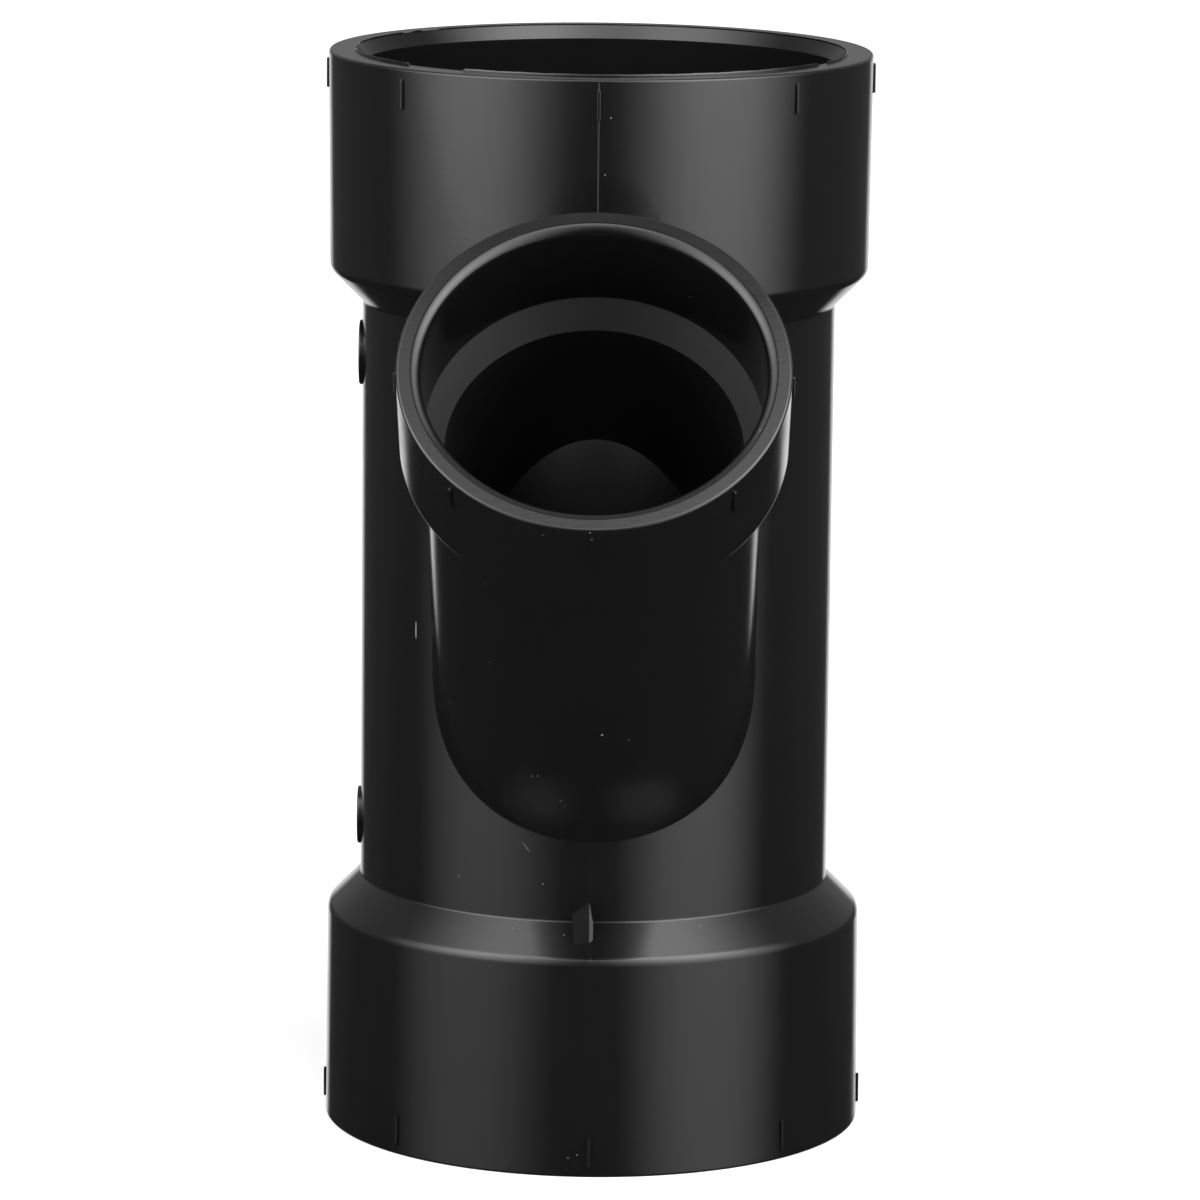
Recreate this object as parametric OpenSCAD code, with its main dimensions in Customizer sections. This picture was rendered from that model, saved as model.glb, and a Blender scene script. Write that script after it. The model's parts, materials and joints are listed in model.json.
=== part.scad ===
// Double wye fitting for drain pipe, all ends hubs, injection moulded in one piece.
// A straight run has a hub at each end. Two smaller branches leave it at the same
// height, one to the front and one to the rear, and each ends in a hub of its own.
// Z runs up the axis of the run, and the origin is the centre of the lower rim.
// The front branch leans towards -Y and the rear branch towards +Y.

/* [Run] */
// Diameter of the waterway through the run
run_bore_d = 77.9; // [74:0.1:80]
// Wall of the barrel between the two run hubs
run_wall = 5.5; // [4:0.1:7]
// Length of the run from rim to rim
run_length = 204.1; // [200:0.1:240]

/* [Run hubs] */
// Outside diameter of the pipe that a run hub takes
run_pipe_od = 88.9; // [87:0.1:92]
// Depth of a run socket from its rim to the pipe stop
run_socket_depth = 38.1; // [30:0.1:40]
// Wall of a run hub at its mouth
run_hub_wall = 6.4; // [5:0.1:8]
// How far the straight outside of a run hub goes on past the pipe stop
run_hub_overrun = 2.8; // [1:0.1:6]
// Length of the sloping lead-in at the mouth of a run socket
run_lead_length = 2.5; // [1:0.1:5]
// How much the lead-in widens the radius of a run socket
run_lead_width = 1.4; // [0.5:0.1:3]

/* [Branches] */
// Diameter of the waterway through a branch
branch_bore_d = 53.2; // [48:0.1:56]
// Wall of a branch between the run and its hub
branch_wall = 3.25; // [2.5:0.05:5]
// Angle between a branch and the run
branch_angle = 45; // [43:0.5:48]
// Height at which the axes of the branches cross the axis of the run
branch_height = 60; // [58:0.5:64]
// Distance from that crossing to the rim of a branch hub, along the branch
branch_length = 139.7; // [136:0.1:150]

/* [Branch hubs] */
// Outside diameter of the pipe that a branch hub takes
branch_pipe_od = 60.3; // [58:0.1:62]
// Depth of a branch socket from its rim to the pipe stop
branch_socket_depth = 19.5; // [15:0.1:24]
// Wall of a branch hub at its mouth
branch_hub_wall = 4.4; // [3.5:0.1:6]
// How far the straight outside of a branch hub goes on past the pipe stop
branch_hub_overrun = 2; // [0.5:0.1:5]
// Radius of the rounded lip at the mouth of a branch socket
branch_lip_round = 1.8; // [0.5:0.1:2.4]

/* [Moulding] */
// Gap all round between a pipe and the wall of its socket
pipe_clearance = 0.1; // [0.05:0.01:0.4]
// Length of the sloping pipe stop at the bottom of every socket
stop_length = 5; // [3:0.1:8]
// Draft of the outside of the hubs, in degrees
hub_draft = 0.5; // [0:0.1:1]
// Rounding of the outer edge of every rim
rim_round = 0.5; // [0.2:0.1:1.5]
// Rounding of the shoulder where a run hub slopes in to the barrel
run_shoulder_round = 2.5; // [1:0.1:6]
// Rounding of the shoulder where a branch hub slopes in to its branch
branch_shoulder_round = 2; // [0.5:0.1:4]
// Rounding of the inner corner at the foot of a hub's slope
root_round = 0.6; // [0.2:0.1:2]

/* [Alignment marks] */
// Number of raised marks round each hub
mark_count = 8; // [4:4:16]
// Width of a mark
mark_width = 0.7; // [0.4:0.1:1.5]
// Length of a mark
mark_length = 5.6; // [3:0.1:8]
// How far a mark stands out of the hub at its mouth
mark_height = 0.45; // [0.3:0.05:1]
// Distance from the rim to the start of a mark
mark_inset = 1.9; // [1.2:0.1:4]

/* [Pads on the barrel] */
// Diameter of the upper pad
upper_pad_d = 12.3; // [8:0.1:14]
// Height of the middle of the upper pad
upper_pad_height = 146.5; // [140:0.5:150]
// Diameter of the lower pad
lower_pad_d = 11; // [8:0.1:13]
// Height of the middle of the lower pad
lower_pad_height = 57.3; // [55:0.1:64]
// How far the flat top of a pad stands out of the barrel
pad_rise = 0.6; // [0.3:0.1:1.5]

/* [Hidden] */
$fn = 96;

// Slope of the outside of a hub down to its pipe, and the angle between the
// points of a rounded edge, in degrees
slope_angle = 45;
round_step = 11.25;
// How far a cutting shape runs past the face that it opens
cut_over = 2;

run_r = run_bore_d / 2 + run_wall;
run_socket_r = run_pipe_od / 2 + pipe_clearance;
run_hub_r = run_socket_r + run_hub_wall;
run_hub_length = run_socket_depth + run_hub_overrun;

branch_r = branch_bore_d / 2 + branch_wall;
branch_socket_r = branch_pipe_od / 2 + pipe_clearance;
branch_hub_r = branch_socket_r + branch_hub_wall;
branch_hub_length = branch_socket_depth + branch_hub_overrun;

function unit(v) = v / norm(v);

// Radius of the drafted outside of a hub, a given length from its rim
function drafted(hub_r, length) = hub_r - length * tan(hub_draft);

// How far a slope needs to run along the axis to come in from one radius to another
function slope_run(from_r, to_r) = (from_r - to_r) / tan(slope_angle);

// Points of the arc of radius r that rounds the corner b between the points a and c
function arc_corner(a, b, c, r) =
    let (
        to_a = unit(a - b),
        to_c = unit(c - b),
        half = acos(to_a * to_c) / 2,
        centre = b + unit(to_a + to_c) * r / sin(half),
        first = b + to_a * r / tan(half) - centre,
        last = b + to_c * r / tan(half) - centre,
        sweep = 180 - 2 * half,
        turn = sign(first.x * last.y - first.y * last.x),
        start = atan2(first.y, first.x),
        steps = ceil(sweep / round_step)
    )
    [for (i = [0:steps]) centre + r * [cos(start + turn * sweep * i / steps),
                                       sin(start + turn * sweep * i / steps)]];

// Outline from corners [radius, height, rounding], where a rounding of 0 is a sharp corner
function rounded(corners) =
    let (n = len(corners), at = [for (p = corners) [p[0], p[1]]])
    [for (i = [0:n - 1])
        each corners[i][2] > 0
            ? arc_corner(at[(i + n - 1) % n], at[i], at[(i + 1) % n], corners[i][2])
            : [at[i]]];

// Solid of revolution of an outline of rounded corners
module turned(corners) {
    rotate_extrude()
        polygon(rounded(corners));
}

// Carries its children from the Z axis onto each of the two branch axes
module on_branches() {
    for (side = [0, 180])
        rotate([0, 0, side])
            translate([0, 0, branch_height])
                rotate([branch_angle, 0, 0])
                    children();
}

// Outside of the run as one solid: hub, slope, barrel, slope, hub
module run_outside() {
    base_r = drafted(run_hub_r, run_hub_length);
    foot = run_hub_length + slope_run(base_r, run_r);
    turned([
        [0, 0, 0],
        [run_hub_r, 0, rim_round],
        [base_r, run_hub_length, run_shoulder_round],
        [run_r, foot, root_round],
        [run_r, run_length - foot, root_round],
        [base_r, run_length - run_hub_length, run_shoulder_round],
        [run_hub_r, run_length, rim_round],
        [0, run_length, 0]
    ]);
}

// Outside of one branch, from the crossing of the axes up to its rim
module branch_outside() {
    base_r = drafted(branch_hub_r, branch_hub_length);
    shoulder = branch_length - branch_hub_length;
    turned([
        [0, 0, 0],
        [branch_r, 0, 0],
        [branch_r, shoulder - slope_run(base_r, branch_r), root_round],
        [base_r, shoulder, branch_shoulder_round],
        [branch_hub_r, branch_length, rim_round],
        [0, branch_length, 0]
    ]);
}

// Waterway of the run with the sockets and pipe stops at its two ends
module run_inside() {
    stop = run_socket_depth + stop_length;
    mouth_r = run_socket_r + run_lead_width * (run_lead_length + cut_over) / run_lead_length;
    turned([
        [0, -cut_over, 0],
        [mouth_r, -cut_over, 0],
        [run_socket_r, run_lead_length, 0],
        [run_socket_r, run_socket_depth, 0],
        [run_bore_d / 2, stop, 0],
        [run_bore_d / 2, run_length - stop, 0],
        [run_socket_r, run_length - run_socket_depth, 0],
        [run_socket_r, run_length - run_lead_length, 0],
        [mouth_r, run_length + cut_over, 0],
        [0, run_length + cut_over, 0]
    ]);
}

// Waterway of one branch, from the crossing of the axes out through its rounded lip
module branch_inside() {
    socket_foot = [branch_socket_r, branch_length - branch_socket_depth];
    lip = [branch_socket_r, branch_length];
    rim = [branch_hub_r, branch_length];
    rotate_extrude()
        polygon([
            [0, 0],
            [branch_bore_d / 2, 0],
            [branch_bore_d / 2, socket_foot.y - stop_length],
            socket_foot,
            each arc_corner(socket_foot, lip, rim, branch_lip_round),
            [branch_socket_r + branch_lip_round, branch_length + cut_over],
            [0, branch_length + cut_over]
        ]);
}

// Raised marks round a hub whose rim lies at height 0 with its body above it,
// each rooted halfway into the hub's wall, round towards the rim and square away from it
module marks(hub_r, hub_wall) {
    round_end = mark_width / 2;
    for (i = [0:mark_count - 1])
        rotate([0, 0, i * 360 / mark_count])
            translate([hub_r - hub_wall / 2, 0, mark_inset + round_end])
                rotate([90, 0, 90])
                    linear_extrude(hub_wall / 2 + mark_height) {
                        circle(d = mark_width);
                        translate([-mark_width / 2, 0])
                            square([mark_width, mark_length - round_end]);
                    }
}

// Bare round pad on the left side of the barrel
module pad(d, height) {
    translate([-run_r - pad_rise, 0, height])
        rotate([0, 90, 0])
            cylinder(d = d, h = pad_rise + run_wall / 2);
}

module fitting_body() {
    color([0.06, 0.06, 0.065])
        difference() {
            union() {
                run_outside();
                marks(run_hub_r, run_hub_wall);
                translate([0, 0, run_length])
                    mirror([0, 0, 1])
                        marks(run_hub_r, run_hub_wall);
                pad(upper_pad_d, upper_pad_height);
                pad(lower_pad_d, lower_pad_height);
                on_branches() {
                    branch_outside();
                    translate([0, 0, branch_length])
                        mirror([0, 0, 1])
                            marks(branch_hub_r, branch_hub_wall);
                }
            }
            run_inside();
            on_branches()
                branch_inside();
        }
}

fitting_body();
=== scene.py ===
# %% [markdown]
# # Double wye drain fitting in black plastic
# The real object is one injection moulded piece: a straight run with a hub at each end and two
# smaller branches at 45 degrees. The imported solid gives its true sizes. This lesson builds a finer
# skin of the same form to stand in its place, with smooth roundings, the mould's parting line and the
# small marks, and then gives it a glossy black finish and the studio light of a catalogue picture.

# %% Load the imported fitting
import json
import math

import bmesh
import bpy
import numpy as np
from mathutils import Matrix, Vector
from mathutils.bvhtree import BVHTree
from mathutils.kdtree import KDTree


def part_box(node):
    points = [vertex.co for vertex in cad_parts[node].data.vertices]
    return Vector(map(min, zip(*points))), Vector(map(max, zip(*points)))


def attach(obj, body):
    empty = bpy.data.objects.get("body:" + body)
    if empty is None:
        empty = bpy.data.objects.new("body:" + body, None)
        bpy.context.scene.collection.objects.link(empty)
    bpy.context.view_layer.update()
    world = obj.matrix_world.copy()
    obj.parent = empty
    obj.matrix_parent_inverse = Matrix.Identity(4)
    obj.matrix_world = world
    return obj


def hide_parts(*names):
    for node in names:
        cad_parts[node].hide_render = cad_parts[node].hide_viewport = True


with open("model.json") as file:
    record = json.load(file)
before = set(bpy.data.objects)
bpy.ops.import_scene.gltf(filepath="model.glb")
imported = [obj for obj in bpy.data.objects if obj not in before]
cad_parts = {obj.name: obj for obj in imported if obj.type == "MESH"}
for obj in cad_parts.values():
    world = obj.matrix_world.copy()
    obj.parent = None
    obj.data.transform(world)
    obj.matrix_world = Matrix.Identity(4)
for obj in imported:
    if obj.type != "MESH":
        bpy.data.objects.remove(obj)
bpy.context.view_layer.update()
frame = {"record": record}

# %% [markdown]
# ## Sizes
# The sockets and the length of the run are read from the frame, so they can't drift from the solid.
# The rest repeats the driving sizes of the part, in metres. Heights of the run start at its lower
# rim, and lengths of a branch start where its axis crosses the axis of the run. CUT_OVER is how far a
# cutting shape runs past the face that it opens.

# %% Sizes of the fitting
mounts = {m["name"]: m for m in frame["record"]["mounts"]}
low_corner, high_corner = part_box("fitting_body")

RUN_LENGTH = high_corner.z
RUN_SOCKET_R = mounts["run_top_socket"]["dims"]["r_mm"] / 1000
RUN_BORE_R = 0.03895
RUN_R = RUN_BORE_R + 0.0055
RUN_HUB_R = RUN_SOCKET_R + 0.0064
RUN_SOCKET_DEPTH = 0.0381
RUN_HUB_LENGTH = RUN_SOCKET_DEPTH + 0.0028
RUN_LEAD_LENGTH = 0.0025
RUN_LEAD_WIDTH = 0.0014
RUN_SHOULDER_ROUND = 0.0025

BRANCH_SOCKET_R = mounts["front_branch_socket"]["dims"]["r_mm"] / 1000
BRANCH_BORE_R = 0.0266
BRANCH_R = BRANCH_BORE_R + 0.00325
BRANCH_HUB_R = BRANCH_SOCKET_R + 0.0044
BRANCH_ANGLE = math.radians(45)
BRANCH_HEIGHT = 0.060
BRANCH_LENGTH = 0.1397
BRANCH_SOCKET_DEPTH = 0.0195
BRANCH_HUB_LENGTH = BRANCH_SOCKET_DEPTH + 0.002
BRANCH_LIP_ROUND = 0.0018
BRANCH_SHOULDER_ROUND = 0.002

STOP_LENGTH = 0.005
HUB_DRAFT = math.radians(0.5)
RIM_ROUND = 0.0005
ROOT_ROUND = 0.0006
CUT_OVER = 0.002
print("the run goes from", round(low_corner.z, 4), "to", round(RUN_LENGTH, 4), "m in height")
print("the sockets are", RUN_SOCKET_R, "and", BRANCH_SOCKET_R, "m in radius")

# %% [markdown]
# ## Rounded outlines
# Every main form of the fitting is turned, so it starts as an outline of radius and height. A corner
# may carry a rounding, which becomes an arc. Each edge of the outline also keeps the true surface
# normal at its two ends: those give the skin exact shading later, even where the mesh is coarse.

# %% Outlines with rounded corners
ARC_STEP = math.radians(8)
NO_LENGTH = 1e-9


def unit(v):
    return v / np.linalg.norm(v)


def rounded(corners):
    """Points of a closed outline (radius, height), and the normals at both ends of each edge."""
    at = [np.array(c[:2], float) for c in corners]
    points, centres = [], []
    for i, corner in enumerate(corners):
        if not corner[2]:
            points.append(at[i])
            centres.append(None)
            continue
        back = unit(at[i - 1] - at[i])
        ahead = unit(at[(i + 1) % len(at)] - at[i])
        half = math.acos(back @ ahead) / 2
        centre = at[i] + unit(back + ahead) * corner[2] / math.sin(half)
        first = at[i] + back * corner[2] / math.tan(half) - centre
        last = at[i] + ahead * corner[2] / math.tan(half) - centre
        turn = math.copysign(1, first[0] * last[1] - first[1] * last[0])
        sweep = math.pi - 2 * half
        steps = math.ceil(sweep / ARC_STEP)
        start = math.atan2(first[1], first[0])
        for k in range(steps + 1):
            angle = start + turn * sweep * k / steps
            points.append(centre + corner[2] * np.array([math.cos(angle), math.sin(angle)]))
            centres.append((centre, turn) if k < steps else None)
    # A rounding may use up the whole side beside it, which leaves an edge of no length
    ahead_of = points[1:] + points[:1]
    kept = [i for i, q in enumerate(ahead_of) if np.linalg.norm(q - points[i]) > NO_LENGTH]
    points, centres = np.array([points[i] for i in kept]), [centres[i] for i in kept]
    following = np.roll(points, -1, axis=0)
    normals = []
    for p, q, arc in zip(points, following, centres):
        if arc is None:
            along = unit(q - p)
            normals.append([(along[1], -along[0])] * 2)
        else:
            normals.append([arc[1] * unit(p - arc[0]), arc[1] * unit(q - arc[0])])
    return points, np.array(normals, float)


def drafted(hub_r, length):
    """Radius of the drafted outside of a hub, a length away from its rim."""
    return hub_r - length * math.tan(HUB_DRAFT)


print("an arc turns by at most", round(math.degrees(ARC_STEP)), "degrees from point to point")

# %% [markdown]
# ## Outlines of the run and of a branch
# The outsides widen into hubs with a slope of 45 degrees, and the hubs narrow a little away from
# their rims so that they leave the mould. The insides are the shapes that will be cut out: waterway,
# sloping pipe stop, socket and mouth. A fine groove runs round the lip of a branch hub, where the core
# of the mould met its outer half.

# %% Outlines of the run and of a branch
LIP_GROOVE_WIDTH = 0.00014
LIP_GROOVE_DEPTH = 0.0001

run_base_r = drafted(RUN_HUB_R, RUN_HUB_LENGTH)
run_foot = RUN_HUB_LENGTH + run_base_r - RUN_R
run_outside = rounded([
    (0, 0, 0),
    (RUN_HUB_R, 0, RIM_ROUND),
    (run_base_r, RUN_HUB_LENGTH, RUN_SHOULDER_ROUND),
    (RUN_R, run_foot, ROOT_ROUND),
    (RUN_R, RUN_LENGTH - run_foot, ROOT_ROUND),
    (run_base_r, RUN_LENGTH - RUN_HUB_LENGTH, RUN_SHOULDER_ROUND),
    (RUN_HUB_R, RUN_LENGTH, RIM_ROUND),
    (0, RUN_LENGTH, 0),
])

branch_base_r = drafted(BRANCH_HUB_R, BRANCH_HUB_LENGTH)
branch_shoulder = BRANCH_LENGTH - BRANCH_HUB_LENGTH
branch_outside = rounded([
    (0, 0, 0),
    (BRANCH_R, 0, 0),
    (BRANCH_R, branch_shoulder - branch_base_r + BRANCH_R, ROOT_ROUND),
    (branch_base_r, branch_shoulder, BRANCH_SHOULDER_ROUND),
    (BRANCH_HUB_R, BRANCH_LENGTH, RIM_ROUND),
    (0, BRANCH_LENGTH, 0),
])

run_stop = RUN_SOCKET_DEPTH + STOP_LENGTH
run_mouth_r = RUN_SOCKET_R + RUN_LEAD_WIDTH * (RUN_LEAD_LENGTH + CUT_OVER) / RUN_LEAD_LENGTH
run_inside = rounded([
    (0, -CUT_OVER, 0),
    (run_mouth_r, -CUT_OVER, 0),
    (RUN_SOCKET_R, RUN_LEAD_LENGTH, 0),
    (RUN_SOCKET_R, RUN_SOCKET_DEPTH, 0),
    (RUN_BORE_R, run_stop, 0),
    (RUN_BORE_R, RUN_LENGTH - run_stop, 0),
    (RUN_SOCKET_R, RUN_LENGTH - RUN_SOCKET_DEPTH, 0),
    (RUN_SOCKET_R, RUN_LENGTH - RUN_LEAD_LENGTH, 0),
    (run_mouth_r, RUN_LENGTH + CUT_OVER, 0),
    (0, RUN_LENGTH + CUT_OVER, 0),
])

branch_mouth_r = BRANCH_SOCKET_R + BRANCH_LIP_ROUND
groove_middle = branch_mouth_r + LIP_GROOVE_WIDTH / 2
groove_far = branch_mouth_r + LIP_GROOVE_WIDTH
branch_inside = rounded([
    (0, 0, 0),
    (BRANCH_BORE_R, 0, 0),
    (BRANCH_BORE_R, BRANCH_LENGTH - BRANCH_SOCKET_DEPTH - STOP_LENGTH, 0),
    (BRANCH_SOCKET_R, BRANCH_LENGTH - BRANCH_SOCKET_DEPTH, 0),
    (BRANCH_SOCKET_R, BRANCH_LENGTH, BRANCH_LIP_ROUND),
    (branch_mouth_r, BRANCH_LENGTH, 0),
    (groove_middle, BRANCH_LENGTH - LIP_GROOVE_DEPTH, 0),
    (groove_far, BRANCH_LENGTH, 0),
    (groove_far, BRANCH_LENGTH + CUT_OVER, 0),
    (0, BRANCH_LENGTH + CUT_OVER, 0),
])
outlines = (run_outside, branch_outside, run_inside, branch_inside)
print("edges in the outlines:", [len(points) for points, normals in outlines])

# %% [markdown]
# ## Turned solids
# A mesh is turned from each outline and put in its place by a matrix. Every face is tagged with the
# number of the form that it belongs to. The tag survives the joining and cutting, and tells later
# which outline a face came from. Walls between neighbouring rings of points come up again and again
# below, so one helper makes them all.

# %% Turning an outline into a solid
SEGMENTS = 256
forms = {}


def solid(name, vertices, faces, form):
    """Object with a mesh whose faces all carry the number of one form, or 0 for none."""
    mesh = bpy.data.meshes.new(name)
    mesh.from_pydata([tuple(v) for v in vertices], [], faces)
    tag = mesh.attributes.new("form", "INT", "FACE")
    tag.data.foreach_set("value", np.full(len(faces), form, np.int32))
    piece = bpy.data.objects.new(name, mesh)
    bpy.context.scene.collection.objects.link(piece)
    return piece


def band_faces(count, size, closed=False):
    """Quads between neighbouring rings of points, where closed also joins the last ring to the first."""
    faces = []
    for j in range(count if closed else count - 1):
        here, there = j * size, (j + 1) % count * size
        for k in range(size):
            after = (k + 1) % size
            faces.append((here + k, here + after, there + after, there + k))
    return faces


def turned(name, outline, place=Matrix.Identity(4), cut=False):
    """Solid turned from an outline whose first and last points lie on the axis."""
    rings = outline[0][1:-1]
    around = np.arange(SEGMENTS) * 2 * math.pi / SEGMENTS
    local = np.array([(r * math.cos(a), r * math.sin(a), h) for r, h in rings for a in around])
    spin = np.array(place.to_3x3())
    vertices = local @ spin.T + np.array(place.translation)
    faces = [tuple(range(SEGMENTS - 1, -1, -1))] + band_faces(len(rings), SEGMENTS)
    top = (len(rings) - 1) * SEGMENTS
    faces.append(tuple(range(top, top + SEGMENTS)))
    number = len(forms) + 1
    forms[number] = {"outline": outline, "place": place, "cut": cut}
    return solid(name, vertices, faces, number)


def branch_place(side):
    """Matrix that carries the Z axis onto the axis of the front branch, side 0, or the rear one, side 1."""
    return (
        Matrix.Rotation(side * math.pi, 4, "Z")
        @ Matrix.Translation((0, 0, BRANCH_HEIGHT))
        @ Matrix.Rotation(BRANCH_ANGLE, 4, "X")
    )


SIDES = {"front": branch_place(0), "rear": branch_place(1)}
body = turned("fitting_skin", run_outside)
outsides = [turned(side + "_branch", branch_outside, place) for side, place in SIDES.items()]
insides = [turned("run_waterway", run_inside, cut=True)]
insides += [turned(side + "_waterway", branch_inside, place, cut=True) for side, place in SIDES.items()]
print("turned", 1 + len(outsides) + len(insides), "solids of", SEGMENTS, "segments")

# %% [markdown]
# ## Raised marks
# Raised marks stand every 45 degrees round each hub, to line pipes up by. They are round towards the
# rim and square at the other end, and their edges are rounded. Each is a real solid that reaches into
# the wall, so that joining it on later leaves no gap.

# %% Raised marks
MARK_COUNT = 8
MARK_WIDTH = 0.0007
MARK_LENGTH = 0.0056
MARK_HEIGHT = 0.00045
MARK_INSET = 0.0019
MARK_ROOT = 0.002
MARK_EDGE = 0.00018
MARK_ARC_POINTS = 9
MARK_EDGE_RINGS = 4


def mark_outline(inset):
    """Outline of a mark seen from outside the hub: X across it, Y away from the rim, from its round end."""
    half = MARK_WIDTH / 2 - inset
    angles = np.linspace(math.pi, 2 * math.pi, MARK_ARC_POINTS)
    arc = [(half * math.cos(a), half * math.sin(a)) for a in angles]
    end = MARK_LENGTH - MARK_WIDTH / 2 - inset
    return np.array(arc + [(half, end), (-half, end)])


def mark_rings():
    """Rings (outline, height) of one mark, from its root in the hub up over its rounded edge."""
    rings = [(mark_outline(0), -MARK_ROOT)]
    for a in np.linspace(0, math.pi / 2, MARK_EDGE_RINGS):
        inset = MARK_EDGE * (1 - math.cos(a))
        rings.append((mark_outline(inset), MARK_HEIGHT - MARK_EDGE * (1 - math.sin(a))))
    return rings


def lofted(rings):
    """Vertices and faces of a closed solid through rings (outline, height) of equal length."""
    size = len(rings[0][0])
    vertices = np.array([(x, y, height) for outline, height in rings for x, y in outline])
    faces = [tuple(range(size - 1, -1, -1))] + band_faces(len(rings), size)
    faces.append(tuple(range((len(rings) - 1) * size, len(rings) * size)))
    return vertices, faces


def flat_form():
    """Number of a new form that is shaded by its own facets."""
    number = len(forms) + 1
    forms[number] = None
    return number


def scattered(name, shape, places):
    """One object holding a copy of a closed shape at each place."""
    vertices, faces = shape
    all_vertices, all_faces = [], []
    for place in places:
        start = len(all_vertices)
        spin, move = np.array(place.to_3x3()), np.array(place.translation)
        all_vertices += list(vertices @ spin.T + move)
        all_faces += [tuple(start + v for v in face) for face in faces]
    return solid(name, all_vertices, all_faces, flat_form())


def mark_places(hub_r, rim, inwards, place):
    """Places of the marks round a hub, from the height of its rim and the way into it, 1 up or -1 down."""
    spots = []
    for k in range(MARK_COUNT):
        angle = 2 * math.pi * k / MARK_COUNT
        outwards = Vector((math.cos(angle), math.sin(angle), 0))
        along = Vector((0, 0, inwards))
        frame_axes = Matrix((along.cross(outwards), along, outwards)).transposed().to_4x4()
        spot = outwards * hub_r + Vector((0, 0, rim + inwards * (MARK_INSET + MARK_WIDTH / 2)))
        spots.append(place @ Matrix.Translation(spot) @ frame_axes)
    return spots


upright = Matrix.Identity(4)
places = mark_places(RUN_HUB_R, 0, 1, upright) + mark_places(RUN_HUB_R, RUN_LENGTH, -1, upright)
for place in SIDES.values():
    places += mark_places(BRANCH_HUB_R, BRANCH_LENGTH, -1, place)
marks = scattered("alignment_marks", lofted(mark_rings()), places)
print("marks:", len(places))

# %% [markdown]
# ## Pads on the barrel
# Two bare round pads sit on the left of the barrel, each given by its diameter and its height. They
# have a flat face and a rounded edge.

# %% Pads on the barrel
PADS = {"upper": (0.0123, 0.1465), "lower": (0.011, 0.0573)}
PAD_RISE = 0.0006
PAD_EDGE = 0.0003
PAD_ROOT = 0.003
PAD_SEGMENTS = 72
PAD_EDGE_RINGS = 5


def pad_rings(radius):
    """Rings of a round pad with a rounded top edge, rising along Z."""
    around = np.linspace(0, 2 * math.pi, PAD_SEGMENTS, endpoint=False)
    circle = np.stack([np.cos(around), np.sin(around)], axis=1)
    rings = [(circle * radius, -PAD_ROOT)]
    for a in np.linspace(0, math.pi / 2, PAD_EDGE_RINGS):
        inset = PAD_EDGE * (1 - math.cos(a))
        rings.append((circle * (radius - inset), PAD_RISE - PAD_EDGE * (1 - math.sin(a))))
    return rings


to_left = Matrix(((0, 0, -1), (1, 0, 0), (0, -1, 0))).to_4x4()
pads = []
for name, (width, height) in PADS.items():
    spot = Matrix.Translation((-RUN_R, 0, height)) @ to_left
    pads.append(scattered(name + "_pad", lofted(pad_rings(width / 2)), [spot]))
print("pads:", list(PADS))

# %% [markdown]
# ## Parting line
# The mould closed on the plane through all the axes and left a fine raised line there. It stands out
# on the upper hub and is hardly there below. It follows the outline of the run as a thin rib with a
# round back, on the front and on the rear at once.

# %% Parting line
SEAM_ROOT = 0.0003
HUB_SEAM = {"rise": 0.00013, "width": 0.00036}
FAINT_SEAM = {"rise": 0.00004, "width": 0.00026}
SEAM_RINGS = 7


def seam(name, outline, place, low, high, rise, width):
    """Thin rounded rib in the mould's plane, along both sides of a turned outline between two heights."""
    points = np.array([p for p in outline[0] if p[0] > 0 and low <= p[1] <= high])
    rings = []
    for across in np.linspace(-1, 1, SEAM_RINGS):
        right = points + (rise * math.sqrt(1 - across ** 2) - SEAM_ROOT * (abs(across) == 1), 0)
        rings.append((np.concatenate([right, right[::-1] * (-1, 1)]), across * width / 2))
    to_plane = Matrix(((0, 0, 1), (1, 0, 0), (0, 1, 0))).to_4x4()
    return scattered(name, lofted(rings), [place @ to_plane])


seam_end = RIM_ROUND * 0.9
top_slope = RUN_LENGTH - RUN_HUB_LENGTH - RUN_SHOULDER_ROUND
seams = [
    seam("lower_seam", run_outside, upright, seam_end, top_slope, **FAINT_SEAM),
    seam("upper_seam", run_outside, upright, top_slope, RUN_LENGTH - seam_end, **HUB_SEAM),
]
print("seams:", len(seams))

# %% [markdown]
# ## Fillets
# Where a branch meets the barrel, the mould left a fillet about half a millimetre in radius, which
# shows as a hairline of light. A ball of that radius that rolls along the corner touches both walls.
# The path of its centre is exact: it keeps one distance from each of the two axes. The bead that
# fills the corner is sunk into both walls by a hair, so that joining it on leaves no crack.

# %% Fillets between the branches and the barrel
FILLET_R = 0.00055
FILLET_ROOT = 0.0005
FILLET_SINK = 0.000005
FILLET_STEPS = 6
PATH_POINTS = 16 * SEGMENTS


def ball_centres(count):
    """The rolling ball's centres in a branch's own frame, and the angle of each round the branch."""
    angle = np.linspace(0, 2 * math.pi, count, endpoint=False)
    x = (BRANCH_R + FILLET_R) * np.cos(angle)
    y = (BRANCH_R + FILLET_R) * np.sin(angle)
    z = y + math.sqrt(2) * np.sqrt((RUN_R + FILLET_R) ** 2 - x ** 2)
    return np.stack([x, y, z], axis=1), angle


def face_outwards(piece):
    """Turns the faces of a closed mesh round if they look into it."""
    measured = bmesh.new()
    measured.from_mesh(piece.data)
    if measured.calc_volume(signed=True) < 0:
        piece.data.flip_normals()
    measured.free()


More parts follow.
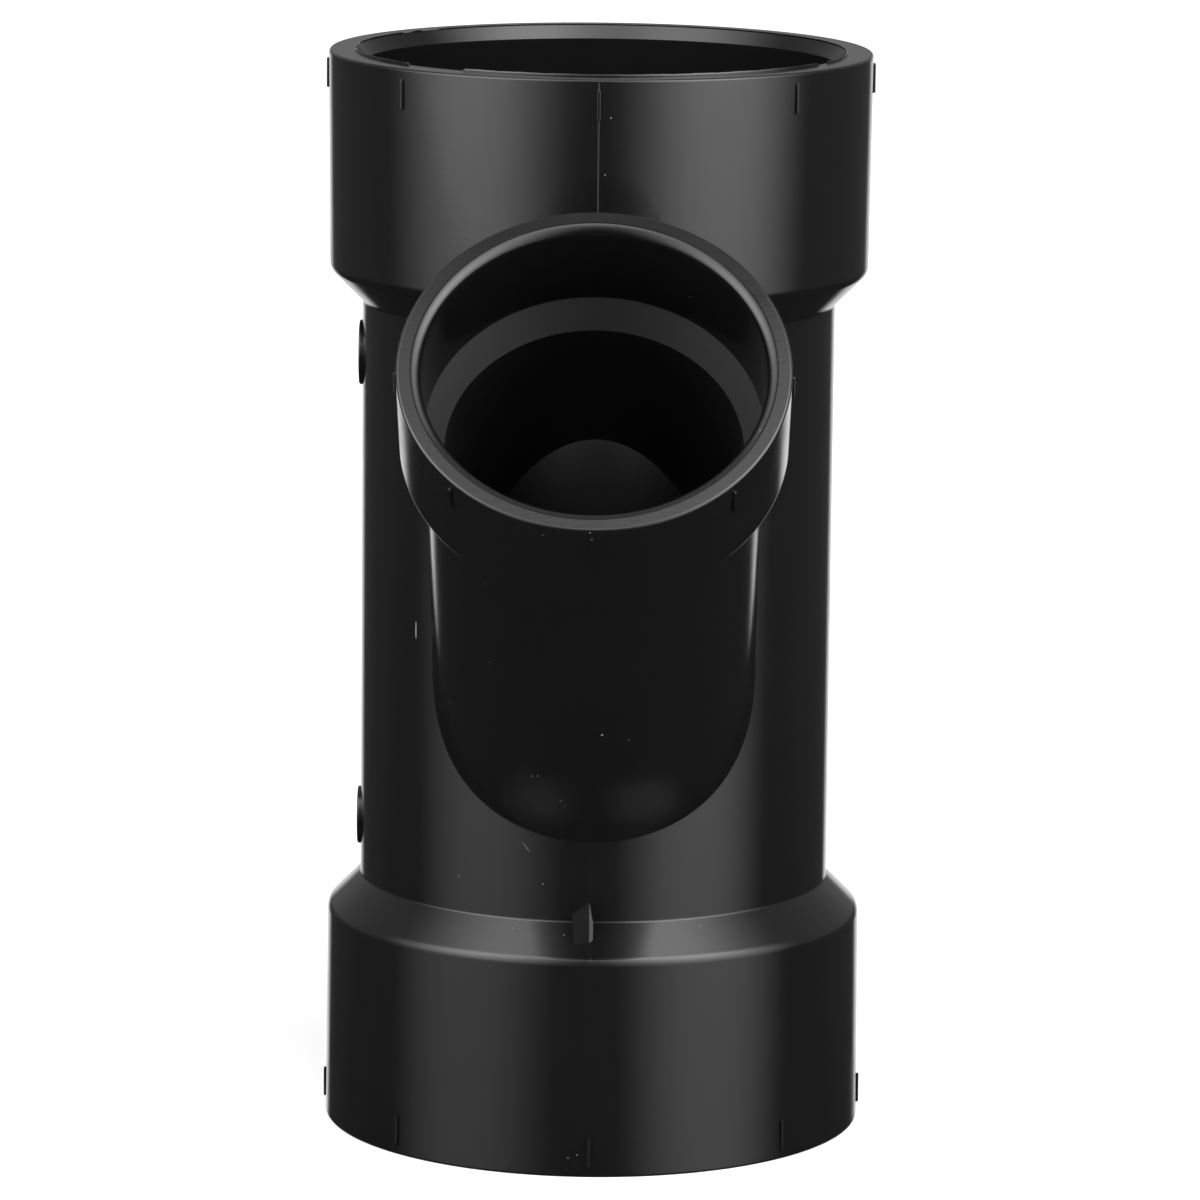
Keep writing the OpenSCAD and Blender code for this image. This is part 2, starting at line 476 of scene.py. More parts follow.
def fillet(name, place):
    """Closed bead that fills the corner between a branch and the barrel."""
    spin, move = np.array(place.to_3x3()), np.array(place.translation)
    local, angle = ball_centres(SEGMENTS)
    vertices = []
    for centre, a in zip(local @ spin.T + move, angle):
        run_way = unit(centre * (1, 1, 0))
        branch_way = spin @ np.array([math.cos(a), math.sin(a), 0])
        apart = math.acos(run_way @ branch_way)
        for k in range(FILLET_STEPS + 1):
            t = k / FILLET_STEPS
            way = math.sin((1 - t) * apart) * run_way + math.sin(t * apart) * branch_way
            way = way / math.sin(apart)
            reach = FILLET_R + (FILLET_SINK if k in (0, FILLET_STEPS) else 0)
            vertices.append(centre - reach * way)
        root = FILLET_R / math.cos(apart / 2) + FILLET_ROOT
        vertices.append(centre - root * unit(run_way + branch_way))
    fine = ball_centres(PATH_POINTS)[0] @ spin.T + move
    path = KDTree(len(fine))
    for i, centre in enumerate(fine):
        path.insert(centre, i)
    path.balance()
    number = len(forms) + 1
    forms[number] = {"ball_path": path}
    bead = solid(name, vertices, band_faces(SEGMENTS, FILLET_STEPS + 2, closed=True), number)
    face_outwards(bead)
    return bead


fillets = [fillet(side + "_fillet", place) for side, place in SIDES.items()]
print("fillets:", len(fillets))

# %% [markdown]
# ## Trimmed gate
# On the front of the lower slope the plastic was let into the mould. The trimmed rest of that gate is
# a small lump with a flat slanting front. It is given by the corners that stand out of the wall, in
# millimetres, and it becomes convex round them and round the same corners sunk in the wall.

# %% Trimmed gate
GATE = [
    (-0.35, -46.6, 51.2), (-3.5, -47.03, 48.5), (-3.1, -47.8, 43.7), (-0.9, -47.9, 43.05),
    (-0.3, -47.17, 47.6), (-0.25, -47.75, 43.9), (-0.1, -46.4, 50.6), (0.42, -46.85, 47.4),
    (0.42, -47.4, 44.3),
]
GATE_ROOT = 3.2


def gate():
    """Convex lump of plastic round the corners of the gate and the same corners sunk in the wall."""
    hull = bmesh.new()
    for x, y, z in GATE:
        hull.verts.new((x / 1000, y / 1000, z / 1000))
        hull.verts.new((x / 1000, (y + GATE_ROOT) / 1000, z / 1000))
    shell = bmesh.ops.convex_hull(hull, input=hull.verts)
    bmesh.ops.delete(hull, geom=shell["geom_interior"], context="VERTS")
    bmesh.ops.recalc_face_normals(hull, faces=hull.faces)
    hull.verts.index_update()
    vertices = np.array([v.co for v in hull.verts])
    faces = [tuple(v.index for v in face.verts) for face in hull.faces]
    hull.free()
    return solid("trimmed_gate", vertices, faces, flat_form())


gate_lump = gate()
print("gate:", len(gate_lump.data.polygons), "facets")

# %% [markdown]
# ## Flash on the upper rim
# The two halves of the mould closed at the mouth of the upper socket too. A thin uneven flash of
# plastic was squeezed out there: highest at the front, broken away in a few places, low at the back.
# A break is given by the bearing of its middle and half its width, in degrees.

# %% Flash on the upper rim
FLASH_OVERHANG = 0.00005
FLASH_WIDTH = 0.00022
FLASH_ROOT = 0.00015
FLASH_HIGH = 0.00042
FLASH_LOW = 0.00016
FLASH_BROKEN = 0.00003
FLASH_SEGMENTS = 720
BREAKS = [(-41, 8), (-97, 2.5), (-126, 1.5), (-134, 2.5), (63, 2)]
BREAK_EDGE = 0.7


def flash_height(bearing):
    """Height of the flash above the rim at a bearing in degrees, 0 at the front and + to the right."""
    front = 0.5 + 0.5 * math.cos(math.radians(bearing))
    height = FLASH_LOW + (FLASH_HIGH - FLASH_LOW) * min(1, 1.6 * front)
    ripple = math.sin(bearing * 0.61)
    ripple += 0.6 * math.sin(bearing * 1.73 + 1)
    ripple += 0.4 * math.sin(bearing * 3.1 + 2)
    height *= 1 + 0.06 * ripple
    for middle, half in BREAKS:
        edge = min(1, max(0, (abs(bearing - middle) - half) / BREAK_EDGE))
        height = FLASH_BROKEN + (height - FLASH_BROKEN) * edge
    return height


def flash():
    """Closed thin ring that stands on the rim round the mouth of the upper socket."""
    inner = RUN_SOCKET_R + RUN_LEAD_WIDTH - FLASH_OVERHANG
    vertices = []
    for j in range(FLASH_SEGMENTS):
        bearing = 360 * j / FLASH_SEGMENTS - 180
        height = flash_height(bearing)
        a = math.radians(bearing)
        section = [
            (inner, -FLASH_ROOT), (inner, height * 0.75), (inner + FLASH_WIDTH * 0.3, height),
            (inner + FLASH_WIDTH * 0.6, height), (inner + FLASH_WIDTH, height * 0.5),
            (inner + FLASH_WIDTH, -FLASH_ROOT),
        ]
        vertices += [(r * math.sin(a), -r * math.cos(a), RUN_LENGTH + up) for r, up in section]
    faces = band_faces(FLASH_SEGMENTS, len(section), closed=True)
    ring = solid("rim_flash", vertices, faces, flat_form())
    face_outwards(ring)
    return ring


rim_flash = flash()
print("flash: about", round(FLASH_HIGH * 1000, 2), "mm high at the front")

# %% [markdown]
# ## Joining and cutting
# The outsides are joined first and then the waterways are cut, in the order in which one would model
# the part by hand. The flash comes last, because it hangs over the mouth that the cut opens. Boolean
# modifiers do all of it, and the result becomes an ordinary mesh.

# %% Joining the outsides and cutting the waterways
def combine(target, tools, operation):
    """Joins each tool to the target or cuts it out of it, and then removes the tools."""
    for tool in tools:
        modifier = target.modifiers.new(tool.name, "BOOLEAN")
        modifier.operation = operation
        modifier.solver = "MANIFOLD"
        modifier.object = tool
    scene_now = bpy.context.evaluated_depsgraph_get()
    mesh = bpy.data.meshes.new_from_object(target.evaluated_get(scene_now))
    target.modifiers.clear()
    target.data = mesh
    for tool in tools:
        bpy.data.objects.remove(tool)


combine(body, outsides + fillets + [marks, gate_lump] + pads + seams, "UNION")
combine(body, insides, "DIFFERENCE")
combine(body, [rim_flash], "UNION")
print("skin:", len(body.data.vertices), "vertices,", len(body.data.polygons), "faces")

# %% [markdown]
# ## True shading
# A facet of a turned form knows its outline, so the exact normal at each of its corners can be worked
# out: across the outline from the edge's own two normals, and round the axis from the corner's place.
# Written back as custom normals, they make a mesh of flat facets shade like the real curved wall,
# with crisp edges only where the outline has them. On a fillet, the normal points at the nearest
# place on the path of the ball's centre. A face may lie near two edges of its outline, so the edge
# that also looks the same way as the face is taken: TURN_COST weighs the one against the other.

# %% Custom normals from the outlines
TURN_COST = 0.002
FAR = 1e9


def outline_normals(form, corners, owner, middles, facets):
    """Exact normals at face corners, given each corner's face, and each face's middle and normal."""
    points, ends = form["outline"]
    away = -1 if form["cut"] else 1
    back = np.array(form["place"].inverted())
    turn = back[:3, :3]

    def flattened(at):
        local = at @ turn.T + back[:3, 3]
        radius = np.hypot(local[:, 0], local[:, 1])
        outwards = local[:, :2] / np.maximum(radius, NO_LENGTH)[:, None]
        return np.stack([radius, local[:, 2]], axis=1), outwards

    start, span = points, np.roll(points, -1, axis=0) - points
    length2 = (span ** 2).sum(axis=1)
    middle, outward = flattened(middles)
    facet = facets @ turn.T
    facet_2d = away * np.stack([(facet[:, :2] * outward).sum(axis=1), facet[:, 2]], axis=1)
    best = np.zeros(len(middle), int)
    score = np.full(len(middle), FAR)
    for i in range(len(points)):
        t = np.clip(((middle - start[i]) @ span[i]) / length2[i], 0, 1)
        off = np.linalg.norm(middle - start[i] - t[:, None] * span[i], axis=1)
        agree = facet_2d @ unit(ends[i].sum(axis=0))
        cost = off + TURN_COST * (1 - agree)
        better = cost < score
        best[better], score[better] = i, cost[better]
    edge = best[owner]
    corner, outward = flattened(corners)
    t = np.clip(((corner - start[edge]) * span[edge]).sum(axis=1) / length2[edge], 0, 1)[:, None]
    across = ends[edge, 0] * (1 - t) + ends[edge, 1] * t
    local = np.concatenate([outward * across[:, :1], across[:, 1:]], axis=1)
    return away * local / np.linalg.norm(local, axis=1, keepdims=True) @ turn


def shade(piece):
    """Gives a piece custom normals: exact on turned forms and fillets, flat on the small forms."""
    mesh = piece.data
    faces, corners = len(mesh.polygons), len(mesh.loops)
    place = np.zeros(len(mesh.vertices) * 3)
    mesh.vertices.foreach_get("co", place)
    place = place.reshape(-1, 3)
    vertex = np.zeros(corners, int)
    mesh.loops.foreach_get("vertex_index", vertex)
    first, size = np.zeros(faces, int), np.zeros(faces, int)
    mesh.polygons.foreach_get("loop_start", first)
    mesh.polygons.foreach_get("loop_total", size)
    middles, facets = np.zeros(faces * 3), np.zeros(faces * 3)
    mesh.polygons.foreach_get("center", middles)
    mesh.polygons.foreach_get("normal", facets)
    middles, facets = middles.reshape(-1, 3), facets.reshape(-1, 3)
    order = np.argsort(first, kind="stable")
    owner = np.repeat(order, size[order])
    tags = np.zeros(faces, int)
    mesh.attributes["form"].data.foreach_get("value", tags)
    normals = facets[owner].copy()
    for number, form in forms.items():
        chosen = np.flatnonzero(tags == number)
        if form is None or not len(chosen):
            continue
        mine = tags[owner] == number
        if "ball_path" in form:
            at = place[vertex[mine]]
            centres = np.array([form["ball_path"].find(spot)[0] for spot in at])
            normals[mine] = (centres - at) / np.linalg.norm(centres - at, axis=1, keepdims=True)
            continue
        renumbered = np.zeros(faces, int)
        renumbered[chosen] = np.arange(len(chosen))
        normals[mine] = outline_normals(
            form, place[vertex[mine]], renumbered[owner[mine]], middles[chosen], facets[chosen]
        )
    mesh.polygons.foreach_set("use_smooth", np.ones(faces, bool))
    mesh.normals_split_custom_set(normals)
    print("shaded", faces, "faces with", len(np.unique(tags)), "forms")


shade(body)
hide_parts("fitting_body")
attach(body, "root")

# %% [markdown]
# ## Finish
# The fitting is black ABS as it leaves the mould: near black and fairly glossy, with a faint orange
# peel, broad sink waves, fine rings left by the turning of the mould, and duller smudges where it was
# handled. The waterways are duller than the outside, and the pipe stops in the branch sockets, from a
# coarser part of the mould, are matt. A few helpers come first: they keep the node trees short.

# %% Helpers for node trees
def add(tree, kind, inputs=None, **settings):
    """A shader node with its settings and the values or links of its inputs."""
    node = tree.nodes.new(kind)
    for key, value in settings.items():
        setattr(node, key, value)
    for key, value in (inputs or {}).items():
        if isinstance(value, bpy.types.NodeSocket):
            tree.links.new(value, node.inputs[key])
        else:
            node.inputs[key].default_value = value
    return node


def new_material(name):
    """Material with an empty node tree."""
    material = bpy.data.materials.new(name)
    material.use_nodes = True
    material.node_tree.nodes.clear()
    return material, material.node_tree


def between(tree, value, low, high, start, end):
    """Smooth step of a value from start to end between low and high."""
    return add(
        tree, "ShaderNodeMapRange",
        {"Value": value, "From Min": low, "From Max": high, "To Min": start, "To Max": end},
        interpolation_type="SMOOTHSTEP",
    ).outputs["Result"]


def chain(tree, operation, *values):
    """Values taken together one after the other by math nodes of one operation, such as ADD."""
    result = values[0]
    for value in values[1:]:
        result = add(tree, "ShaderNodeMath", {0: result, 1: value}, operation=operation).outputs[0]
    return result


def vectors(tree, operation, first, second=None, output=0):
    """Result of a vector math node on one or two vectors."""
    inputs = {0: first} if second is None else {0: first, 1: second}
    return add(tree, "ShaderNodeVectorMath", inputs, operation=operation).outputs[output]


def noise(tree, place, scale, detail, roughness=0.5):
    """Noise texture, as a value from 0 to 1."""
    inputs = {"Vector": place, "Scale": scale, "Detail": detail, "Roughness": roughness}
    return add(tree, "ShaderNodeTexNoise", inputs).outputs["Fac"]


def bumps(tree, *layers):
    """Normal that carries bumps one on top of the other, each (height, strength, distance in metres)."""
    normal = None
    for height, strength, distance in layers:
        inputs = {"Height": height, "Strength": strength, "Distance": distance}
        if normal is not None:
            inputs["Normal"] = normal
        normal = add(tree, "ShaderNodeBump", inputs).outputs["Normal"]
    return normal


helpers = (add, new_material, between, chain, vectors, noise, bumps)
print("helpers:", [helper.__name__ for helper in helpers])

# %% [markdown]
# ## Dull waterways
# Which wall is dull is found from the place of a point alone. The two branches mirror each other in
# the plane across them, so the absolute place folds both onto the rear one. There, the distance along
# the axis and the radius from it tell the pipe stop and the waterway from the rest.

# %% Where the inside is dull
INSIDE_BLUR = 0.0002


def inside_branches(tree, place):
    """1 on the pipe stops of the branch sockets and 1 in the waterways below them, as two sockets."""
    along = (0, math.sin(BRANCH_ANGLE), math.cos(BRANCH_ANGLE))
    from_cross = vectors(tree, "SUBTRACT", vectors(tree, "ABSOLUTE", place), (0, 0, BRANCH_HEIGHT))
    distance = vectors(tree, "DOT_PRODUCT", from_cross, along, "Value")
    on_axis = add(tree, "ShaderNodeVectorMath", {0: along, "Scale": distance}, operation="SCALE").outputs[0]
    radius = vectors(tree, "LENGTH", vectors(tree, "SUBTRACT", from_cross, on_axis), output="Value")
    blur = INSIDE_BLUR
    top = BRANCH_LENGTH - BRANCH_SOCKET_DEPTH
    foot = top - STOP_LENGTH
    stops = chain(
        tree, "MULTIPLY",
        between(tree, distance, foot - blur, foot + blur, 0, 1),
        between(tree, distance, top - blur, top + blur, 1, 0),
        between(tree, radius, BRANCH_SOCKET_R + blur, BRANCH_SOCKET_R + 2 * blur, 1, 0),
    )
    bores = chain(
        tree, "MULTIPLY",
        between(tree, distance, foot - blur, foot + blur, 1, 0),
        between(tree, radius, BRANCH_BORE_R + blur, BRANCH_BORE_R + 2 * blur, 1, 0),
    )
    return stops, bores


def inside_run(tree, place):
    """1 in the waterway of the run."""
    radius = vectors(tree, "LENGTH", vectors(tree, "MULTIPLY", place, (1, 1, 0)), output="Value")
    return between(tree, radius, RUN_BORE_R + 1.5 * INSIDE_BLUR, RUN_BORE_R + 3 * INSIDE_BLUR, 1, 0)


print("edge of the dull part:", INSIDE_BLUR * 2000, "mm wide")

# %% [markdown]
# ## Black plastic
# Roughness is a sum: a gloss that wanders a little, the smudges, and what the insides add. Three
# layers of bumps tilt the surface: sink waves about two centimetres wide, an orange peel finer than a
# millimetre, and short thin streaks that lie level, as the rings of a turned mould do.

# %% Black ABS
ABS_COLOUR = (0.0042, 0.0042, 0.0044, 1)
GLOSS = {"From Min": 0.3, "From Max": 0.7, "To Min": 0.1, "To Max": 0.14}
SMUDGE = (0.56, 0.72, 0, 0.09)
DULL_INSIDE = 0.3
MATT_STOP = 0.52
WAVE = (0.1, 0.0001)
PEEL = (0.08, 0.00003)
RINGS = (0.2, 0.00003)
RING_SQUEEZE = (260, 260, 2600)


def black_abs():
    """Glossy black plastic."""
    material, tree = new_material("black_abs")
    place = add(tree, "ShaderNodeTexCoord").outputs["Object"]
    normal = bumps(
        tree,
        (noise(tree, place, 45, 2), *WAVE),
        (noise(tree, place, 1400, 3), *PEEL),
        (noise(tree, vectors(tree, "MULTIPLY", place, RING_SQUEEZE), 1, 3), *RINGS),
    )
    gloss = add(tree, "ShaderNodeMapRange", {"Value": noise(tree, place, 90, 6, 0.6), **GLOSS})
    stops, bores = inside_branches(tree, place)
    rough = chain(
        tree, "ADD",
        gloss.outputs["Result"],
        between(tree, noise(tree, place, 26, 4, 0.55), *SMUDGE),
        chain(tree, "MULTIPLY", inside_run(tree, place), DULL_INSIDE),
        chain(tree, "MULTIPLY", bores, DULL_INSIDE),
        chain(tree, "MULTIPLY", stops, MATT_STOP),
    )
    plastic = add(
        tree, "ShaderNodeBsdfPrincipled", {"Base Color": ABS_COLOUR, "Roughness": rough, "Normal": normal}
    )
    add(tree, "ShaderNodeOutputMaterial", {"Surface": plastic.outputs["BSDF"]})
    return material


body.data.materials.clear()
body.data.materials.append(black_abs())
print("finish:", body.data.materials[0].name)

# %% [markdown]
# ## Camera
# The camera stands 1.3 metres away with a long lens, slightly above the fitting. Its focal length is
# kept in pixels of the square picture, as it was fitted, and turned into millimetres here.

# %% Camera
IMAGE_SIZE = 1200
FOCAL_PIXELS = 6987
SENSOR = 36
CAMERA_AT = Vector((0.00913, -1.30397, 0.34208))
CAMERA_LOOKS = Vector((-0.00629, 0.98310, -0.18296)).normalized()
CAMERA_ROLL = 0.0103

camera_data = bpy.data.cameras.new("camera")
camera_data.sensor_width = SENSOR
camera_data.lens = FOCAL_PIXELS / IMAGE_SIZE * SENSOR
camera = bpy.data.objects.new("camera", camera_data)
bpy.context.scene.collection.objects.link(camera)
level = CAMERA_LOOKS.cross(Vector((0, 0, 1))).normalized()
upwards = level.cross(CAMERA_LOOKS)
across = math.cos(CAMERA_ROLL) * level + math.sin(CAMERA_ROLL) * upwards
up = math.cos(CAMERA_ROLL) * upwards - math.sin(CAMERA_ROLL) * level
camera_turn = Matrix((across, up, -CAMERA_LOOKS)).transposed()
camera.matrix_world = Matrix.Translation(CAMERA_AT) @ camera_turn.to_4x4()
bpy.context.scene.camera = camera
bpy.context.scene.view_settings.view_transform = "Standard"
print("lens:", round(camera_data.lens), "mm")

# %% [markdown]
# ## Dust and scuffs
# A few grains of dust and two short scuffs sit on the real fitting. Each is placed where it shows in
# the picture, in pixels: a ray from the camera finds the wall there, and a small flat lens of pale
# grit is set half into it. A grain may give its own half width in millimetres. A scuff is the same
# lens drawn out long, and gives its half length and its tilt in degrees too.

# %% Dust and scuffs
GRIT = [
    (490, 662), (451, 702), (442, 708), (532, 776), (538, 776), (507, 802), (561, 801), (565, 806),
    (602, 735, 0.22), (629, 740, 0.14), (700, 926), (459, 876), (543, 884), (513, 928), (564, 935),
    (577, 1155), (568, 1158), (611, 118), (605, 175), (590, 533), (690, 297, 0.1), (760, 430),
    (416, 630, 0.14, 1.7, 0), (526, 847, 0.03, 1.2, 40), (543, 535, 0.1), (485, 583, 0.1),
]
GRIT_SIZE = 0.11
GRIT_FLATNESS = 0.35
DARK_DUST = (0.1, 0.1, 0.09, 1)
LIGHT_DUST = (0.34, 0.34, 0.31, 1)


def grit_shape():
    """Unit ball of few faces."""
    ball = bmesh.new()
    bmesh.ops.create_icosphere(ball, subdivisions=2, radius=1)
    vertices = np.array([v.co for v in ball.verts])
    faces = [tuple(v.index for v in face.verts) for face in ball.faces]
    ball.free()
    return vertices, faces


wall_faces = [tuple(face.vertices) for face in body.data.polygons]
wall = BVHTree.FromPolygons([v.co for v in body.data.vertices], wall_faces)
ball_vertices, ball_faces = grit_shape()
grit_vertices, grit_faces = [], []
for x, y, *more in GRIT:
    half, longer, tilt = more + [GRIT_SIZE, 0, 0][len(more):]
    ray = Vector(((x - IMAGE_SIZE / 2) / FOCAL_PIXELS, (IMAGE_SIZE / 2 - y) / FOCAL_PIXELS, -1))
    spot, outwards, _, _ = wall.ray_cast(CAMERA_AT, (camera.matrix_world.to_3x3() @ ray).normalized())
    tilted = Matrix.Rotation(math.radians(tilt), 3, outwards)
    along = -(tilted @ Vector((0, 0, 1)).cross(outwards).cross(outwards)).normalized()
    sizes = np.array([half, max(longer, half), half * GRIT_FLATNESS]) / 1000
    frame_axes = np.array([along.cross(outwards), along, outwards])
    start = len(grit_vertices)
    grit_vertices += list((ball_vertices * sizes) @ frame_axes + np.array(spot))
    grit_faces += [tuple(start + v for v in face) for face in ball_faces]
grit = solid("dust_grains", grit_vertices, grit_faces, 0)
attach(grit, "root")


def pale_dust():
    """Matt mottled grit."""
    material, tree = new_material("pale_dust")
    mottle = noise(tree, add(tree, "ShaderNodeTexCoord").outputs["Object"], 900, 2)
    tint = add(tree, "ShaderNodeValToRGB", {"Fac": mottle})
    tint.color_ramp.elements[0].color = DARK_DUST
    tint.color_ramp.elements[1].color = LIGHT_DUST
    normal = bumps(tree, (mottle, 0.4, 0.00002))
    dust = add(
        tree, "ShaderNodeBsdfPrincipled",
        {"Base Color": tint.outputs["Color"], "Roughness": 0.8, "Normal": normal},
    )
    add(tree, "ShaderNodeOutputMaterial", {"Surface": dust.outputs["BSDF"]})
    return material


grit.data.materials.append(pale_dust())
print("grains and scuffs:", len(GRIT))

# %% [markdown]
# ## Floor
# The floor is pale and catches the fitting's shadow. Far from the lamps it would turn grey, so rays
# that show it as a background add to it there. It stays out of the mirror images in the fitting,
# which was pictured over a dark ground. The soft boxes hang lower than the floor, so it throws no
# shadow of its own and takes none of their light away.

# %% Floor
FLOOR_HALF = 6
FLOOR_NEAR = 0.1
FLOOR_FAR = 0.7
LIFT_NEAR = 0.25
FLOOR_PAINT = (0.8, 0.8, 0.8, 1)
WHITE = (1, 1, 1, 1)


def background_rays(tree):
    """1 for rays that show a background: camera, glossy and transmission rays."""
    rays = add(tree, "ShaderNodeLightPath").outputs
    return chain(tree, "MAXIMUM", rays["Is Camera Ray"], rays["Is Glossy Ray"], rays["Is Transmission Ray"])


def pale_floor():
    """Matt pale paint that turns to white far from the fitting for rays that show a background."""
    material, tree = new_material("pale_floor")
    away = vectors(tree, "LENGTH", add(tree, "ShaderNodeTexCoord").outputs["Object"], output="Value")
    lift = between(tree, away, FLOOR_NEAR, FLOOR_FAR, LIFT_NEAR, 1)
    shown = chain(tree, "MULTIPLY", background_rays(tree), lift)
    paint = add(
        tree, "ShaderNodeBsdfPrincipled",
        {
            "Base Color": FLOOR_PAINT, "Roughness": 0.8, "Specular IOR Level": 0,
            "Emission Color": WHITE, "Emission Strength": shown,
        },
    )
    add(tree, "ShaderNodeOutputMaterial", {"Surface": paint.outputs["BSDF"]})
    return material


floor_mesh = bpy.data.meshes.new("floor")
corners = [(-1, -1), (1, -1), (1, 1), (-1, 1)]
floor_mesh.from_pydata([(x * FLOOR_HALF, y * FLOOR_HALF, 0) for x, y in corners], [], [(0, 1, 2, 3)])
floor = bpy.data.objects.new("floor", floor_mesh)
bpy.context.scene.collection.objects.link(floor)
floor.data.materials.append(pale_floor())
floor.visible_glossy = False
floor.visible_shadow = False
print("floor:", 2 * FLOOR_HALF, "m wide")

# %% [markdown]
# ## Soft boxes
# Two large soft boxes lean over the fitting from the front left and the front right, and almost
# meet above it. A soft box is brightest round the bulb behind its cloth, so the strength of each lamp
# falls off over its face: slowly upwards, and slanting towards the other box. The gap between the
# boxes gives the dark band down the middle of every wall. Below a slanting hem the left cloth lets
# less light through, which draws the slanting edge in the band of light on the upper hub. The glow is
# given in metres from the bulb, and the hem by the direction across it.

# %% Soft boxes
AIM = Vector((0, 0, 0.1))
BOX_LEAN = math.radians(25)
BOX_DISTANCE = 0.5
BOX_HALF = 0.6
BOX_BELOW = 0.9
BOX_ABOVE = 0.68
SOFT_BOXES = {
    "left_box": {"bearing": -53, "radiance": 4.9, "glow_height": 0.1, "hem": 0.7},
    "right_box": {"bearing": 50, "radiance": 6.2, "glow_height": 0.14, "hem": 1},
}
GLOW_WIDTH = 0.3
GLOW_TALL = 0.33
GLOW_RISE = 0.85
GLOW_SLANT = 0.385
GLOW_LEAST = 0.09
HEM_LINE = (0.18, 1, 0)
HEM_AT = -0.243
HEM_BLUR = 0.004
FADE_FROM = 0.08
GLOW_POWER = -1.5


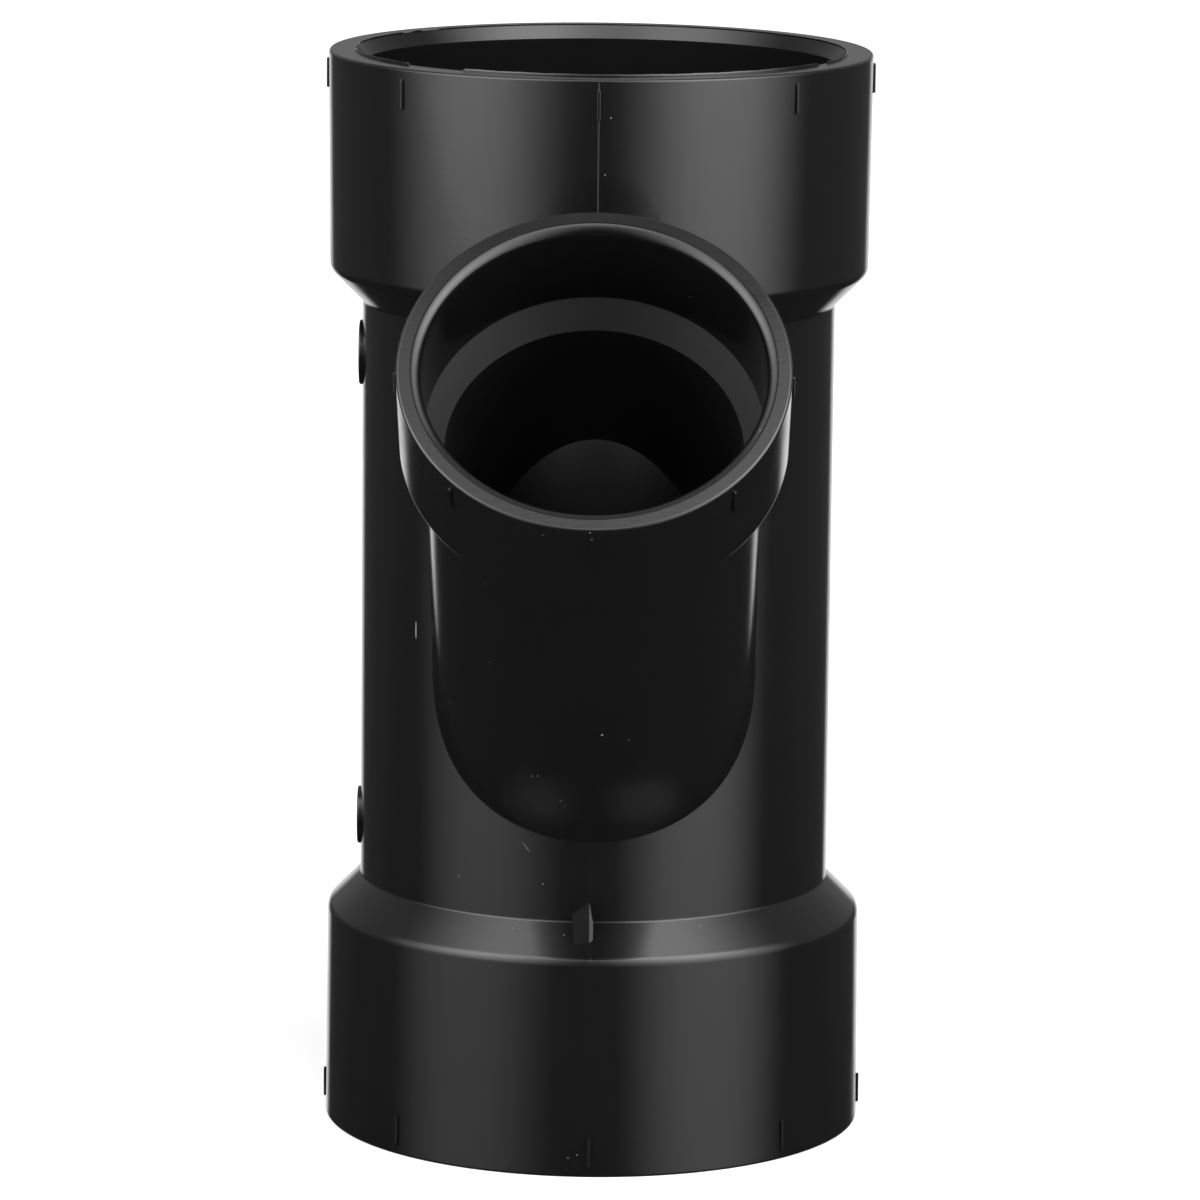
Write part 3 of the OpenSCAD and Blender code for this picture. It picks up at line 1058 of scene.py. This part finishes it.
def soft_lamp(name, box):
    """Area lamp that leans over the fitting, and glows brighter round its bulb than at its edges."""
    light = bpy.data.lights.new(name, "AREA")
    light.shape = "RECTANGLE"
    light.size = 2 * BOX_HALF
    light.size_y = BOX_BELOW + BOX_ABOVE
    light.energy = box["radiance"] * math.pi * light.size * light.size_y
    light.use_nodes = True
    tree = light.node_tree
    tree.nodes.clear()
    bulb = (0.5, (BOX_BELOW + box["glow_height"]) / light.size_y, 0)
    on_face = add(tree, "ShaderNodeNewGeometry").outputs["Parametric"]
    from_bulb = vectors(tree, "SUBTRACT", on_face, bulb)
    spans = (light.size / GLOW_WIDTH, light.size_y / GLOW_TALL, 0)
    scaled = vectors(tree, "MULTIPLY", from_bulb, spans)
    rise = add(tree, "ShaderNodeSeparateXYZ", {"Vector": scaled}).outputs["Y"]
    above_bulb = chain(tree, "MAXIMUM", rise, 0)
    inwards = math.copysign(GLOW_SLANT, box["bearing"])
    slant = add(
        tree, "ShaderNodeVectorMath",
        {0: (inwards, GLOW_RISE - 1, 0), "Scale": above_bulb}, operation="SCALE",
    )
    slanted = vectors(tree, "ADD", scaled, slant.outputs[0])
    spread = chain(tree, "ADD", vectors(tree, "DOT_PRODUCT", slanted, slanted, "Value"), 1)
    glow = chain(tree, "ADD", chain(tree, "POWER", spread, GLOW_POWER), GLOW_LEAST)
    aside = add(tree, "ShaderNodeSeparateXYZ", {"Vector": from_bulb}).outputs["X"]
    sideways = add(tree, "ShaderNodeMath", {0: aside}, operation="ABSOLUTE").outputs[0]
    soft = chain(tree, "MULTIPLY", glow, between(tree, sideways, FADE_FROM / light.size, 0.5, 1, 0))
    if box["hem"] < 1:
        from_foot = vectors(tree, "SUBTRACT", on_face, (0.5, BOX_BELOW / light.size_y, 0))
        across_hem = (HEM_LINE[0] * light.size, HEM_LINE[1] * light.size_y, 0)
        above = vectors(tree, "DOT_PRODUCT", from_foot, across_hem, "Value")
        hem = between(tree, above, HEM_AT - HEM_BLUR, HEM_AT + HEM_BLUR, box["hem"], 1)
        soft = chain(tree, "MULTIPLY", soft, hem)
    cloth = add(tree, "ShaderNodeEmission", {"Color": WHITE, "Strength": soft})
    add(tree, "ShaderNodeOutputLight", {"Surface": cloth.outputs[0]})
    lamp = bpy.data.objects.new(name, light)
    lamp.visible_camera = False
    bpy.context.scene.collection.objects.link(lamp)
    bearing = math.radians(box["bearing"])
    towards = Vector((
        math.sin(bearing) * math.cos(BOX_LEAN),
        -math.cos(bearing) * math.cos(BOX_LEAN),
        math.sin(BOX_LEAN),
    ))
    turn = towards.to_track_quat("Z", "Y")
    middle = Vector((0, (BOX_ABOVE - BOX_BELOW) / 2, 0))
    lamp.rotation_euler = turn.to_euler()
    lamp.location = AIM + towards * BOX_DISTANCE + turn @ middle
    return lamp


for name, box in SOFT_BOXES.items():
    print(name, "stands at", [round(v, 2) for v in soft_lamp(name, box).location])

# %% [markdown]
# ## Room
# The camera sees white beyond the floor. The room that lights the fitting is dim, with a glow from
# the ceiling. The white ground behind the fitting still shows in its mirror images at a grazing
# angle, as the bright hairlines along its sides. Each part of the room is a smooth step over the
# height or the direction of a ray: from, to, strength before and strength after.

# %% Room
GROUND_BEHIND = (0, 0.983, -0.183)
GROUND_EDGE = (0.93, 0.97, 0, 1)
GROUND_TOP = (0, 0.08, 1, 0)
CEILING = (0.6, 0.97, 0, 0.22)
WALLS = (-0.35, -0.1, 0.02, 0.08)
UPPER_WALLS = (-0.06, 0.14, 0, 0.16)


def studio_room():
    """World of a dim room with a pale ceiling, white where it is seen as a background."""
    world = bpy.data.worlds.new("studio_room")
    world.use_nodes = True
    tree = world.node_tree
    tree.nodes.clear()
    ahead = add(tree, "ShaderNodeTexCoord").outputs["Generated"]
    height = add(tree, "ShaderNodeSeparateXYZ", {"Vector": ahead}).outputs["Z"]
    dim = chain(tree, "ADD", *[between(tree, height, *part) for part in (CEILING, UPPER_WALLS, WALLS)])
    facing = vectors(tree, "DOT_PRODUCT", ahead, GROUND_BEHIND, "Value")
    rays = add(tree, "ShaderNodeLightPath").outputs
    mirrored = chain(
        tree, "MULTIPLY",
        rays["Is Glossy Ray"], between(tree, facing, *GROUND_EDGE), between(tree, height, *GROUND_TOP),
    )
    white = chain(tree, "MAXIMUM", rays["Is Camera Ray"], rays["Is Transmission Ray"], mirrored)
    room = add(tree, "ShaderNodeBackground", {"Color": WHITE, "Strength": dim})
    backdrop = add(tree, "ShaderNodeBackground", {"Color": WHITE, "Strength": 1})
    seen = add(tree, "ShaderNodeMixShader", {0: white, 1: room.outputs[0], 2: backdrop.outputs[0]})
    add(tree, "ShaderNodeOutputWorld", {"Surface": seen.outputs[0]})
    return world


bpy.context.scene.world = studio_room()
print("room:", bpy.context.scene.world.name)
